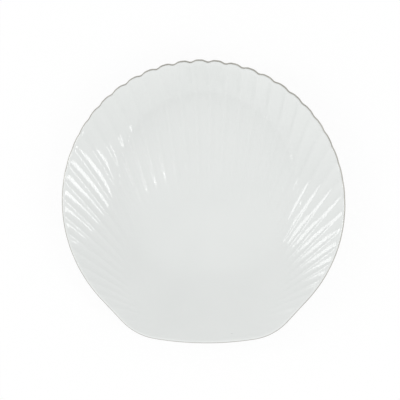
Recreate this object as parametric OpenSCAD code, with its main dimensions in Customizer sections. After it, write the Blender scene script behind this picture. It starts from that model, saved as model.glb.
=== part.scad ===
// Shell-shaped serving plate of pressed white opal glass, with a fine gilt line round its lip.
// Millimetres, +Z up. The origin is the middle of the foot ring, on the table.
// +Y points to the scalloped edge, and the smooth hinge edge of the shell is at -Y.

/* [Plate] */
// Radius of the round part, to the middle of the edge's scallops
plate_r = 125; // [105:1:150]
// Height of the lip above the table, at the middle of the flutes
plate_h = 28.5; // [20:0.5:40]
// Thickness of the glass
glass_t = 3.8; // [2.8:0.1:6]
// Radius of the flat floor of the well
well_r = 77.5; // [70:0.5:82]
// How far the middle of the well lies toward the scalloped edge
well_up = 18; // [0:0.5:20]
// Roundness of the bend from the floor to the wall: small is a tight bend below a straight wall
wall_bend = 0.23; // [0.1:0.01:0.8]

/* [Hinge edge] */
// Radius of the two rounded corners at the hinge end
corner_r = 50.5; // [30:0.5:70]
// How far each corner stands out past the round edge
corner_out = 4.6; // [1:0.2:10]
// Direction of each corner from the middle, off the centre line
corner_angle = 27.5; // [18:0.5:40]
// How far the hinge edge bows out between its corners
hinge_bow = 3; // [1:0.2:8]

/* [Flutes] */
// Flutes that a full turn of the edge would hold
flute_n = 51; // [35:2:61]
// Height of a flute at the lip, above and below its middle
flute_relief = 0.5; // [0.2:0.05:1.2]
// How much sharper the ridges between the flutes are than the flutes
flute_sharp = 0.28; // [0:0.01:0.4]
// How far a scallop stands out of the edge, and in, at the top of the shell
scallop = 0.8; // [0.2:0.05:1.5]
// Share of the way from the lip to the hinge point at which the flutes have died out
flute_reach = 0.42; // [0.3:0.01:0.42]
// How fast a flute dies out along its length
flute_fade = 0.8; // [0.8:0.1:2.5]
// How fast the relief falls from the top of the shell round to the hinge
relief_turn = 0.9; // [0.5:0.1:3]
// How fast the scallops fall from the top of the shell round to the hinge
scallop_turn = 4; // [2:0.5:8]
// Distance of the point that the flutes at the top of the shell run to, out past the hinge edge
hinge_out = 34.5; // [10:0.5:36]
// Share by which that point comes in toward the middle, as the flutes go round to the hinge
fan_in = 0.3; // [0.28:0.01:0.5]

/* [Foot ring] */
// Radius of the foot ring, to its outside
foot_r = 56; // [40:1:58]
// Width of the foot ring where it stands on the table
foot_w = 4; // [2:0.5:8]
// Height of the foot ring below the glass floor
foot_h = 2.5; // [1.5:0.1:5]
// Taper of each side of the foot ring
foot_taper = 0.8; // [0.2:0.1:1.5]

/* [Gilt line] */
// Angle round the lip, from its inner side, at which the line starts
line_from = 66; // [45:1:80]
// Angle round the lip at which the line ends, under the edge
line_to = 142; // [110:1:160]
// Thickness of the fired line
line_t = 0.12; // [0.08:0.02:0.3]

/* [Hidden] */
$fn = 96;

// Steps across one flute, and rows of points over the dish and under it
flute_steps = 4;
top_rows = 14;
under_rows = 7;
columns = flute_n * flute_steps;
// Steps across the gilt line
line_steps = 3;

// The edge: round, then a straight flank, a corner and the bowed hinge edge, each tangent to the next
corner_d = plate_r + corner_out - corner_r;
corner_at = [corner_d * sin(corner_angle), -corner_d * cos(corner_angle)];
flank_turn = 180 - corner_angle - acos((plate_r - corner_r) / corner_d);
flank_end = corner_at + corner_r * heading(flank_turn);
corner_turn = atan2(flank_end.x, flank_end.y);
hinge_y = -corner_at.y + corner_r + hinge_bow;
hinge_r = (corner_at.x ^ 2 + (corner_r + hinge_bow) ^ 2 - corner_r ^ 2) / (2 * hinge_bow);
hinge_at = [0, hinge_r - hinge_y];
corner_end = corner_at + corner_r * unit(corner_at - hinge_at);
hinge_turn = atan2(corner_end.x, corner_end.y);

// The flutes at the top of the shell run straight from the lip toward this point
meet_at = [0, -hinge_out - hinge_y];
well_at = [0, well_up];
lip_r = plate_r - glass_t / 2;
wall_rise = plate_h - foot_h - glass_t;

// Under the plate the flutes stop short of the well, and the last ring of points lies on its flat floor
under_share = 0.9;
under_reach = under_share * (lip_r - well_r - well_up) / (lip_r - meet_at.y);
under_ring_r = well_r - well_up;
// The dish's innermost ring of points, inside the ends of the flutes
floor_share = 0.7;
floor_ring_r = floor_share * (lip_r * (1 - flute_reach) + meet_at.y * flute_reach);
line_angles = [for (j = [0 : line_steps]) line_from + (line_to - line_from) * j / line_steps];
lip_angles = concat([0, line_from / 2], line_angles, [180]);

function heading(a) = [sin(a), cos(a)];
function unit(v) = v / norm(v);

// Distance along a heading from the middle to the far side of a circle
function far_side(at, r, a) = let (along = at * heading(a)) along + sqrt(along ^ 2 - at * at + r ^ 2);

// Radius of the smooth edge on a heading, alike on the left and the right
function edge_r(a) =
    let (turn = acos(cos(a)))
    turn <= flank_turn ? plate_r
    : turn <= corner_turn ? plate_r / cos(turn - flank_turn)
    : turn <= hinge_turn ? far_side(corner_at, corner_r, turn)
    : far_side(hinge_at, hinge_r, turn);

// The wall's width on a heading, and the share of it that a point in plan has passed
function wall_w(a) = edge_r(a) - glass_t / 2 - far_side(well_at, well_r, a);
function wall_share(p) =
    let (a = atan2(p.x, p.y))
    max(0, (norm(p) - far_side(well_at, well_r, a)) / wall_w(a));

// The height and the slope of the middle of the glass: a bend, then a nearly straight wall
function bend_len(share) = sqrt(share ^ 2 + wall_bend ^ 2);
full_bend = bend_len(1) - wall_bend;
function mid_z(p) =
    foot_h + glass_t / 2 + wall_rise * (bend_len(wall_share(p)) - wall_bend) / full_bend;
function slope(p) =
    let (share = wall_share(p))
    atan(wall_rise * share / bend_len(share) / full_bend / wall_w(atan2(p.x, p.y)));

// Each flute is a trough inside the dish where its scallop stands out
function fall(a, power) = ((1 + cos(a)) / 2) ^ power;
function wave(a) = cos(a * flute_n) - flute_sharp * cos(2 * a * flute_n);
function lip_at(a) =
    heading(a) * (edge_r(a) - glass_t / 2 + scallop * fall(a, scallop_turn) * wave(a));
function relief(a, share) =
    -flute_relief * fall(a, relief_turn) * wave(a) * max(0, 1 - share ^ 2) ^ flute_fade;
function aim_at(a) = meet_at * (1 - fan_in * (1 - cos(a)) / 2);

// A row's point in plan: along the flute to its end, then straight in to a ring round the middle.
// The third value is the share of the flute's length that has been passed.
function row_point(a, step, reach, ring_r) =
    let (
        lip = lip_at(a),
        end = lip + (aim_at(a) - lip) * reach,
        ring = unit(end) * ring_r,
        first = norm(end - lip),
        gone = step * (first + norm(ring - end)),
        share = gone / first
    )
    share <= 1
    ? concat(lip + (end - lip) * share, [share])
    : concat(end + unit(ring - end) * (gone - first), [1]);

// A point off the middle of the glass: turn is 0 on its upper face and 180 on its under face
function off_mid(p, share, a, turn, away) =
    let (tip = turn - slope(p), out = unit(p))
    concat(p + out * away * sin(tip), [mid_z(p) + relief(a, share) + away * cos(tip)]);

function dish_point(a, step, reach, ring_r, turn) =
    let (row = row_point(a, step, reach, ring_r))
    off_mid([row.x, row.y], row[2], a, turn, glass_t / 2);
function lip_point(a, turn, away) = off_mid(lip_at(a), 0, a, turn, away);

function column_a(i) = 360 * i / columns;
function dish_ring(step) =
    [for (i = [0 : columns - 1]) dish_point(column_a(i), step, flute_reach, floor_ring_r, 0)];
function under_ring(step) =
    [for (i = [0 : columns - 1]) dish_point(column_a(i), step, under_reach, under_ring_r, 180)];
function lip_ring(turn, away) =
    [for (i = [0 : columns - 1]) lip_point(column_a(i), turn, away)];

// Two triangles for each step round, between one ring of points and the next
function band(k, next) = [
    for (i = [0 : columns - 1])
    let (
        a = k * columns + i,
        b = next * columns + i,
        c = next * columns + (i + 1) % columns,
        d = k * columns + (i + 1) % columns
    )
    each [[a, b, c], [a, c, d]]
];
// The same with the other diagonal, for a skin that lies on the lip
function band_across(k, next) = [
    for (i = [0 : columns - 1])
    let (
        a = k * columns + i,
        b = next * columns + i,
        c = next * columns + (i + 1) % columns,
        d = k * columns + (i + 1) % columns
    )
    each [[a, b, d], [b, c, d]]
];

// The pressed glass body, from the floor over the lip to the underside
module glass_dish() {
    rings = concat(
        [for (j = [top_rows : -1 : 1]) dish_ring(j / top_rows)],
        [for (turn = lip_angles) lip_ring(turn, glass_t / 2)],
        [for (j = [1 : under_rows]) under_ring(j / under_rows)]
    );
    last = len(rings) - 1;
    polyhedron(
        points = [for (ring = rings) each ring],
        faces = concat(
            [[for (i = [0 : columns - 1]) i]],
            [for (k = [0 : last - 1]) each band(k, k + 1)],
            [[for (i = [columns - 1 : -1 : 0]) last * columns + i]]
        ),
        convexity = 6
    );
}

// The foot ring that the plate stands on, reaching into the floor
module foot_ring() {
    sunk = foot_h + glass_t / 2;
    rotate_extrude()
    polygon([
        [foot_r - foot_w, 0],
        [foot_r, 0],
        [foot_r + foot_taper, foot_h],
        [foot_r + foot_taper, sunk],
        [foot_r - foot_w - foot_taper, sunk],
        [foot_r - foot_w - foot_taper, foot_h]
    ]);
}

module opal_plate() {
    color([0.93, 0.94, 0.93])
    union() {
        glass_dish();
        foot_ring();
    }
}

// The fired gilt line, a thin skin on the outer half of the lip
module gilt_line() {
    rings = concat(
        [for (turn = line_angles) lip_ring(turn, glass_t / 2 + line_t)],
        [for (j = [len(line_angles) - 1 : -1 : 0]) lip_ring(line_angles[j], glass_t / 2)]
    );
    color([0.66, 0.61, 0.50])
    polyhedron(
        points = [for (ring = rings) each ring],
        faces = [for (k = [0 : len(rings) - 1]) each band_across(k, (k + 1) % len(rings))],
        convexity = 6
    );
}

opal_plate();
gilt_line();
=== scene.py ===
import functools
import math

import bmesh
import bpy
from mathutils import Matrix, Vector


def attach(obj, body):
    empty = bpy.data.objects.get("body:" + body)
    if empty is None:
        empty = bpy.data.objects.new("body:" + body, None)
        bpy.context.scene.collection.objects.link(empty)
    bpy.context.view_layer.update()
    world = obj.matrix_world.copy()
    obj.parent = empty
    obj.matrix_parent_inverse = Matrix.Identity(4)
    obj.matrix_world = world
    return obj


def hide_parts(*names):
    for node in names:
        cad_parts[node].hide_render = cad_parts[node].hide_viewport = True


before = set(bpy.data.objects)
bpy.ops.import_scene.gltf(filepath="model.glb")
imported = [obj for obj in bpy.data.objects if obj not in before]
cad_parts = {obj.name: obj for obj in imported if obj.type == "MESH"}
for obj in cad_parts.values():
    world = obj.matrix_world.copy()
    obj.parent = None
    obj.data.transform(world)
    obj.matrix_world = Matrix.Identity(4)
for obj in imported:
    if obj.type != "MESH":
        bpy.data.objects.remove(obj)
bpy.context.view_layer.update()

# The plate: one piece of white opal glass, pressed hot between a mould and a plunger.
# Flutes fan in from the scalloped edge toward the smooth hinge edge, round a flat well, and a low
# foot ring is pressed underneath. The edge is fire-polished to a full round.

# The whole plate: the well is set toward the scalloped edge, and a small bend is a tight one
plate_r = 0.125
plate_h = 0.0285
glass_t = 0.0038
well_r = 0.0775
well_up = 0.018
wall_bend = 0.23

# The two rounded corners, each off the centre line, and the hinge edge between them
corner_r = 0.0505
corner_out = 0.0046
corner_angle = math.radians(27.5)
hinge_bow = 0.003

# The flutes. Their relief is a hair under the CAD's, so that this smooth skin stays inside its box
flute_n = 51
flute_relief = 0.00049
flute_sharp = 0.28
scallop = 0.0008
flute_reach = 0.42
flute_fade = 0.8
relief_turn = 0.9
scallop_turn = 4.0
hinge_out = 0.0345
fan_in = 0.3

# The foot ring
foot_r = 0.056
foot_w = 0.004
foot_h = 0.0025
foot_taper = 0.0008
foot_round = 0.0007

# Steps round the plate, and rows of faces over the dish, the lip and the underside
flute_steps = 14
columns = flute_n * flute_steps
column_turn = 2 * math.pi / columns
dish_rows = 68
lip_rows = 12
under_rows = 20
# Points nearer than this are one point
weld = 1e-7


def heading(turn):
    """A direction in plan, turned from the top of the shell toward its right."""
    return Vector((math.sin(turn), math.cos(turn)))


def far_side(at, r, turn):
    """How far a line from the plate's middle runs to the far side of a circle."""
    along = at.dot(heading(turn))
    return along + math.sqrt(along**2 - at.length_squared + r**2)


# The edge in plan: round, then a straight flank, a corner and the bowed hinge edge
corner_d = plate_r + corner_out - corner_r
corner_at = Vector((corner_d * math.sin(corner_angle), -corner_d * math.cos(corner_angle)))
flank_turn = math.pi - corner_angle - math.acos((plate_r - corner_r) / corner_d)
flank_end = corner_at + corner_r * heading(flank_turn)
corner_turn = math.atan2(flank_end.x, flank_end.y)
hinge_y = -corner_at.y + corner_r + hinge_bow
hinge_r = (corner_at.x**2 + (corner_r + hinge_bow) ** 2 - corner_r**2) / (2 * hinge_bow)
hinge_at = Vector((0.0, hinge_r - hinge_y))
corner_end = corner_at + corner_r * (corner_at - hinge_at).normalized()
hinge_turn = math.atan2(corner_end.x, corner_end.y)


def edge_r(turn):
    """Radius of the smooth edge, alike on the left and the right."""
    turn = math.acos(max(-1.0, min(1.0, math.cos(turn))))
    if turn <= flank_turn:
        return plate_r
    if turn <= corner_turn:
        return plate_r / math.cos(turn - flank_turn)
    if turn <= hinge_turn:
        return far_side(corner_at, corner_r, turn)
    return far_side(hinge_at, hinge_r, turn)


# The flutes at the top of the shell run from the lip toward this point, out past the hinge edge
meet_at = Vector((0.0, -hinge_out - hinge_y))
well_at = Vector((0.0, well_up))
lip_r = plate_r - glass_t / 2
mid_h = foot_h + glass_t / 2
wall_rise = plate_h - foot_h - glass_t
full_bend = math.hypot(1, wall_bend) - wall_bend
# The rows of the dish end on a ring inside the flutes, and those under it on a ring round the foot
floor_share = 0.7
floor_ring_r = floor_share * (lip_r * (1 - flute_reach) + meet_at.y * flute_reach)
under_share = 0.9
under_reach = under_share * (lip_r - well_r - well_up) / (lip_r - meet_at.y)
under_ring_r = well_r - well_up


def wave(turn):
    """Troughs and ridges across the flutes, with the ridges sharper than the troughs."""
    return math.cos(turn * flute_n) - flute_sharp * math.cos(2 * turn * flute_n)


def fall(turn, power):
    """The flutes grow shallower from the top of the shell round to the hinge."""
    return ((1 + math.cos(turn)) / 2) ** power


@functools.cache
def flute_height(turn):
    """Height of the glass above the smooth wall at the lip: each scallop ends a trough."""
    return -flute_relief * fall(turn, relief_turn) * wave(turn)


@functools.cache
def lip_at(turn):
    """The middle of the glass at the lip, in plan."""
    out = scallop * fall(turn, scallop_turn) * wave(turn)
    return heading(turn) * (edge_r(turn) - glass_t / 2 + out)


def wall_at(at):
    """Rise and slope of the smooth wall at a point in plan."""
    on = math.atan2(at.x, at.y)
    wall_from = far_side(well_at, well_r, on)
    wall_w = edge_r(on) - glass_t / 2 - wall_from
    share = max(0.0, (at.length - wall_from) / wall_w)
    bend = math.hypot(share, wall_bend)
    slope = math.atan(wall_rise * share / bend / full_bend / wall_w)
    return wall_rise * (bend - wall_bend) / full_bend, slope


def off_middle(at, share, turn, side, away):
    """A point off the middle of the glass.

    The side is 0 on its upper face and half a turn on its under face.
    """
    rise, slope = wall_at(at)
    flute = flute_height(turn) * max(0.0, 1 - share**2) ** flute_fade
    out = at.normalized() * away * math.sin(side - slope)
    return Vector((at.x + out.x, at.y + out.y, mid_h + rise + flute + away * math.cos(side - slope)))


def along_flute(turn, step, reach, ring_r):
    """A row's point in plan, along the flute to its end and then straight in.

    The second value is the share of the flute's length that has been passed.
    """
    lip = lip_at(turn)
    aim = meet_at * (1 - fan_in * (1 - math.cos(turn)) / 2)
    end = lip + (aim - lip) * reach
    ring = end.normalized() * ring_r
    first = (end - lip).length
    gone = step * (first + (ring - end).length)
    if gone <= first:
        return lip + (end - lip) * (gone / first), gone / first
    return end + (ring - end).normalized() * (gone - first), 1.0


def turned_skin(ring_count, closed):
    """A chain of points spun once round the plate's axis.

    A point's distance from the axis is its ring's number.
    """
    skin = bmesh.new()
    chain = [skin.verts.new((k + 1.0, 0.0, 0.0)) for k in range(ring_count)]
    for near, far in zip(chain, chain[1:]):
        skin.edges.new((near, far))
    if closed:
        skin.edges.new((chain[-1], chain[0]))
    bmesh.ops.spin(
        skin,
        geom=skin.verts[:] + skin.edges[:],
        cent=(0, 0, 0),
        axis=(0, 0, 1),
        angle=2 * math.pi,
        steps=columns,
        use_merge=True,
    )
    return skin


def shaped_piece(name, skin, rings):
    """Moves each ring of a turned skin to its place on the glass, and closes seams and poles."""
    for vert in skin.verts:
        ring = rings[round(vert.co.length) - 1]
        column = round(math.atan2(vert.co.y, vert.co.x) / column_turn)
        vert.co = ring(column * column_turn)
    bmesh.ops.remove_doubles(skin, verts=skin.verts[:], dist=weld)
    bmesh.ops.recalc_face_normals(skin, faces=skin.faces[:])
    for face in skin.faces:
        face.smooth = True
    mesh = bpy.data.meshes.new(name)
    skin.to_mesh(mesh)
    skin.free()
    piece = bpy.data.objects.new(name, mesh)
    bpy.context.scene.collection.objects.link(piece)
    return piece


def dish_ring(step):
    """A ring on the dish's upper face, at a share of the way in from the lip."""

    def place(turn):
        at, share = along_flute(turn, step, flute_reach, floor_ring_r)
        return off_middle(at, share, turn, 0.0, glass_t / 2)

    return place


def lip_ring(side, away):
    """A ring on the round of the lip."""
    return lambda turn: off_middle(lip_at(turn), 0.0, turn, side, away)


def under_ring(step):
    """A ring on the under face, at a share of the way in from the lip."""

    def place(turn):
        at, share = along_flute(turn, step, under_reach, under_ring_r)
        return off_middle(at, share, turn, math.pi, glass_t / 2)

    return place


def foot_ring(r, z):
    """A round ring of the foot, in line with the columns of the under face."""

    def place(turn):
        at, _ = along_flute(turn, 1.0, under_reach, r)
        return Vector((at.x, at.y, z))

    return place


def pole(z):
    """The middle of the plate, where all columns meet."""
    return lambda turn: Vector((0.0, 0.0, z))


def eased(before, corner, after):
    """A corner of the foot ring's outline, melted round as it leaves the mould."""
    back = (before - corner).normalized() * foot_round
    on = (after - corner).normalized() * foot_round
    return [corner + back, corner + (back + on) * (1 - math.sqrt(0.5)), corner + on]


# The foot ring's outline, from the underside round its foot and in to the middle
foot_in = foot_r - foot_w
foot_corners = [
    Vector((under_ring_r, foot_h)),
    Vector((foot_r + foot_taper, foot_h)),
    Vector((foot_r, 0.0)),
    Vector((foot_in, 0.0)),
    Vector((foot_in - foot_taper, foot_h)),
    Vector((foot_in / 2, foot_h)),
]
foot_outline = []
for before, corner, after in zip(foot_corners, foot_corners[1:], foot_corners[2:]):
    foot_outline += eased(before, corner, after)
foot_outline += foot_corners[-1:]

plate_rings = [pole(foot_h + glass_t)]
plate_rings += [dish_ring(j / dish_rows) for j in range(dish_rows, 0, -1)]
plate_rings += [lip_ring(math.pi * j / lip_rows, glass_t / 2) for j in range(lip_rows + 1)]
plate_rings += [under_ring(j / under_rows) for j in range(1, under_rows + 1)]
plate_rings += [foot_ring(r, z) for r, z in foot_outline]
plate_rings += [pole(foot_h)]
plate = shaped_piece("opal_glass_plate", turned_skin(len(plate_rings), False), plate_rings)

# Opal glass: white all through, faintly clouded where the melt was uneven, with a fire-polished skin
opal = bpy.data.materials.new("opal_glass")
opal.use_nodes = True
nodes, links = opal.node_tree.nodes, opal.node_tree.links
opal_skin = nodes["Principled BSDF"]
opal_skin.inputs["IOR"].default_value = 1.5
place = nodes.new("ShaderNodeTexCoord")
cloud = nodes.new("ShaderNodeTexNoise")
cloud.inputs["Scale"].default_value = 22.0
cloud.inputs["Detail"].default_value = 4.0
cloud.inputs["Roughness"].default_value = 0.55
links.new(place.outputs["Object"], cloud.inputs["Vector"])
tint = nodes.new("ShaderNodeValToRGB")
tint.color_ramp.elements[0].position = 0.3
tint.color_ramp.elements[0].color = (0.732, 0.751, 0.739, 1.0)
tint.color_ramp.elements[1].position = 0.7
tint.color_ramp.elements[1].color = (0.749, 0.766, 0.754, 1.0)
links.new(cloud.outputs["Fac"], tint.inputs["Fac"])
links.new(tint.outputs["Color"], opal_skin.inputs["Base Color"])
smudge = nodes.new("ShaderNodeTexNoise")
smudge.inputs["Scale"].default_value = 60.0
smudge.inputs["Detail"].default_value = 3.0
links.new(place.outputs["Object"], smudge.inputs["Vector"])
gloss = nodes.new("ShaderNodeMapRange")
gloss.inputs["From Min"].default_value = 0.35
gloss.inputs["From Max"].default_value = 0.7
gloss.inputs["To Min"].default_value = 0.06
gloss.inputs["To Max"].default_value = 0.10
links.new(smudge.outputs["Fac"], gloss.inputs["Value"])
links.new(gloss.outputs["Result"], opal_skin.inputs["Roughness"])
ripple = nodes.new("ShaderNodeTexNoise")
ripple.inputs["Scale"].default_value = 130.0
ripple.inputs["Detail"].default_value = 2.0
links.new(place.outputs["Object"], ripple.inputs["Vector"])
polish = nodes.new("ShaderNodeBump")
polish.inputs["Strength"].default_value = 0.05
polish.inputs["Distance"].default_value = 0.0004
links.new(ripple.outputs["Fac"], polish.inputs["Height"])
links.new(polish.outputs["Normal"], opal_skin.inputs["Normal"])
plate.data.materials.append(opal)
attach(plate, "root")
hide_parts("opal_plate")

# The dark edge line: a thin, dull grey metal skin on the outer half of the lip, whose colour is
# painted shade that draws the darker line along the rounded edge of the glass.
# It is a thin skin on the glass, and its tone and roughness vary a little at random along it.

line_from = math.radians(66)
line_to = math.radians(142)
# A hair under the CAD's thickness, for the same reason as the relief
line_t = 0.0001
line_rows = 8
line_sides = [line_from + (line_to - line_from) * j / line_rows for j in range(line_rows + 1)]
edge_line_rings = [lip_ring(side, glass_t / 2 + line_t) for side in line_sides]
edge_line_rings += [lip_ring(side, glass_t / 2) for side in reversed(line_sides)]
edge_line = shaped_piece("dark_edge_line", turned_skin(len(edge_line_rings), True), edge_line_rings)

edge_shade_metal = bpy.data.materials.new("painted_edge_shade")
edge_shade_metal.use_nodes = True
nodes, links = edge_shade_metal.node_tree.nodes, edge_shade_metal.node_tree.links
edge_shade_skin = nodes["Principled BSDF"]
edge_shade_skin.inputs["Metallic"].default_value = 1.0
place = nodes.new("ShaderNodeTexCoord")
line_mottle = nodes.new("ShaderNodeTexNoise")
line_mottle.inputs["Scale"].default_value = 90.0
line_mottle.inputs["Detail"].default_value = 5.0
links.new(place.outputs["Object"], line_mottle.inputs["Vector"])
# Painted shade: the band's grey metal colour is set dark so that it draws the shaded edge of the lip
edge_shade_tone = nodes.new("ShaderNodeValToRGB")
edge_shade_tone.color_ramp.elements[0].position = 0.3
edge_shade_tone.color_ramp.elements[0].color = (0.43, 0.42, 0.385, 1.0)
edge_shade_tone.color_ramp.elements[1].position = 0.7
edge_shade_tone.color_ramp.elements[1].color = (0.53, 0.52, 0.48, 1.0)
links.new(line_mottle.outputs["Fac"], edge_shade_tone.inputs["Fac"])
links.new(edge_shade_tone.outputs["Color"], edge_shade_skin.inputs["Base Color"])
line_roughness = nodes.new("ShaderNodeMapRange")
line_roughness.inputs["To Min"].default_value = 0.28
line_roughness.inputs["To Max"].default_value = 0.45
links.new(line_mottle.outputs["Fac"], line_roughness.inputs["Value"])
links.new(line_roughness.outputs["Result"], edge_shade_skin.inputs["Roughness"])
edge_line.data.materials.append(edge_shade_metal)
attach(edge_line, "root")
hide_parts("gilt_line")

# The studio: a plain white table under the plate. It shows nearly white to the camera and in
# reflections, and keeps enough of its own shading to hold the plate's soft shadow.

table_half = 12.0
table_drop = 0.0001
table_white = 0.9
table_mesh = bmesh.new()
bmesh.ops.create_grid(table_mesh, x_segments=1, y_segments=1, size=table_half)
bmesh.ops.translate(table_mesh, verts=table_mesh.verts[:], vec=(0, 0, -table_drop))
table_data = bpy.data.meshes.new("studio_table")
table_mesh.to_mesh(table_data)
table_mesh.free()
table = bpy.data.objects.new("studio_table", table_data)
bpy.context.scene.collection.objects.link(table)
white = bpy.data.materials.new("white_table")
white.use_nodes = True
nodes, links = white.node_tree.nodes, white.node_tree.links
white_skin = nodes["Principled BSDF"]
white_skin.inputs["Base Color"].default_value = (0.94, 0.94, 0.94, 1.0)
white_skin.inputs["Roughness"].default_value = 0.9
white_skin.inputs["Specular IOR Level"].default_value = 0.0
glow = nodes.new("ShaderNodeEmission")
path = nodes.new("ShaderNodeLightPath")
mirrored = nodes.new("ShaderNodeMath")
mirrored.operation = "MAXIMUM"
links.new(path.outputs["Is Glossy Ray"], mirrored.inputs[0])
links.new(path.outputs["Is Transmission Ray"], mirrored.inputs[1])
seen = nodes.new("ShaderNodeMath")
seen.operation = "MAXIMUM"
links.new(path.outputs["Is Camera Ray"], seen.inputs[0])
links.new(mirrored.outputs[0], seen.inputs[1])
shown = nodes.new("ShaderNodeMath")
shown.operation = "MULTIPLY"
shown.inputs[1].default_value = table_white
links.new(seen.outputs[0], shown.inputs[0])
blend = nodes.new("ShaderNodeMixShader")
links.new(shown.outputs[0], blend.inputs["Fac"])
links.new(white_skin.outputs["BSDF"], blend.inputs[1])
links.new(glow.outputs["Emission"], blend.inputs[2])
links.new(blend.outputs["Shader"], nodes["Material Output"].inputs["Surface"])
table.data.materials.append(white)

# The light: a white room, a little brighter low down and toward the hinge edge, and darker low down
# behind the top of the shell, where the lip mirrors it. A softbox at each side gives the bright
# streaks along the flutes, and a small lamp the short strokes left of the middle.

room_light = 1.09
room_top = 0.3
room_lean = 0.09
room_dark = 0.25
dark_up_to = 0.45
room = bpy.data.worlds.new("white_room")
bpy.context.scene.world = room
room.use_nodes = True
nodes, links = room.node_tree.nodes, room.node_tree.links
nodes["Background"].inputs["Color"].default_value = (1.0, 1.0, 1.0, 1.0)
outlook = nodes.new("ShaderNodeTexCoord")
split = nodes.new("ShaderNodeSeparateXYZ")
links.new(outlook.outputs["Generated"], split.inputs["Vector"])
low_down = nodes.new("ShaderNodeMapRange")
low_down.interpolation_type = "SMOOTHSTEP"
low_down.inputs["From Max"].default_value = dark_up_to
low_down.inputs["To Min"].default_value = 1.0
low_down.inputs["To Max"].default_value = 0.0
links.new(split.outputs["Z"], low_down.inputs["Value"])
behind = nodes.new("ShaderNodeMath")
behind.operation = "MULTIPLY"
behind.use_clamp = True
links.new(split.outputs["Y"], behind.inputs[0])
links.new(low_down.outputs["Result"], behind.inputs[1])


def room_step(along, factor, base):
    """Adds a share of one direction to the room's light so far."""
    step = nodes.new("ShaderNodeMath")
    step.operation = "MULTIPLY_ADD"
    step.inputs[1].default_value = factor
    links.new(along, step.inputs[0])
    if base is None:
        step.inputs[2].default_value = room_light
    else:
        links.new(base, step.inputs[2])
    return step.outputs[0]


slant = room_step(split.outputs["Y"], -room_lean, None)
dome = room_step(split.outputs["Z"], -room_top, slant)
level = room_step(behind.outputs[0], room_dark - room_light, dome)
links.new(level, nodes["Background"].inputs["Strength"])

straight_up = Vector((0.0, 0.0, 1.0))


def hang_lamp(name, azimuth, elevation, away, wide, high, twist, radiance):
    """A flat lamp that faces the plate. Its azimuth is from the plate's right, in degrees."""
    az, el = math.radians(azimuth), math.radians(elevation)
    toward = Vector((math.cos(el) * math.cos(az), math.cos(el) * math.sin(az), math.sin(el)))
    lamp = bpy.data.lights.new(name, "AREA")
    lamp.shape = "RECTANGLE"
    lamp.size = wide
    lamp.size_y = high
    lamp.energy = radiance * math.pi * wide * high
    side = straight_up.cross(toward).normalized()
    facing = Matrix((side, toward.cross(side), toward)).transposed()
    facing = facing @ Matrix.Rotation(math.radians(twist), 3, "Z")
    box = bpy.data.objects.new(name, lamp)
    box.matrix_world = Matrix.Translation(toward * away) @ facing.to_4x4()
    bpy.context.scene.collection.objects.link(box)


hang_lamp(
    "softbox_right",
    azimuth=-14.9,
    elevation=45.6,
    away=1.731,
    wide=0.272,
    high=1.086,
    twist=-35.8,
    radiance=5.0,
)
hang_lamp(
    "softbox_left",
    azimuth=170.5,
    elevation=26.8,
    away=1.694,
    wide=0.265,
    high=1.578,
    twist=10.2,
    radiance=4.0,
)
hang_lamp(
    "small_lamp",
    azimuth=-163.1,
    elevation=61.6,
    away=1.5,
    wide=0.110,
    high=0.030,
    twist=8.1,
    radiance=14.0,
)

# The camera: almost straight above the plate, leaning a little to its upper right.
# It is far off behind a long lens, so the plate shows nearly in plan.

camera_far = 1.4286
lean = math.radians(9.57)
lean_side = math.radians(35.21)
frame_turn = math.radians(0.69)
aim = straight_up * (mid_h + wall_rise)
lean_out = Vector((math.cos(lean_side), math.sin(lean_side), 0.0))
back = lean_out * math.sin(lean) + straight_up * math.cos(lean)
down_lean = lean_out * math.cos(lean) - straight_up * math.sin(lean)
across = straight_up.cross(lean_out)
shown_side = lean_side + frame_turn
right = down_lean * math.cos(shown_side) - across * math.sin(shown_side)
up = down_lean * math.sin(shown_side) + across * math.cos(shown_side)
lens = bpy.data.cameras.new("camera")
lens.sensor_fit = "HORIZONTAL"
lens.sensor_width = 36.0
lens.lens = 147.0
lens.shift_x = -0.005
lens.shift_y = 0.0089
camera = bpy.data.objects.new("camera", lens)
facing = Matrix((right, up, back)).transposed()
camera.matrix_world = Matrix.Translation(aim + back * camera_far) @ facing.to_4x4()
bpy.context.scene.collection.objects.link(camera)
bpy.context.scene.camera = camera
bpy.context.scene.view_settings.view_transform = "Standard"
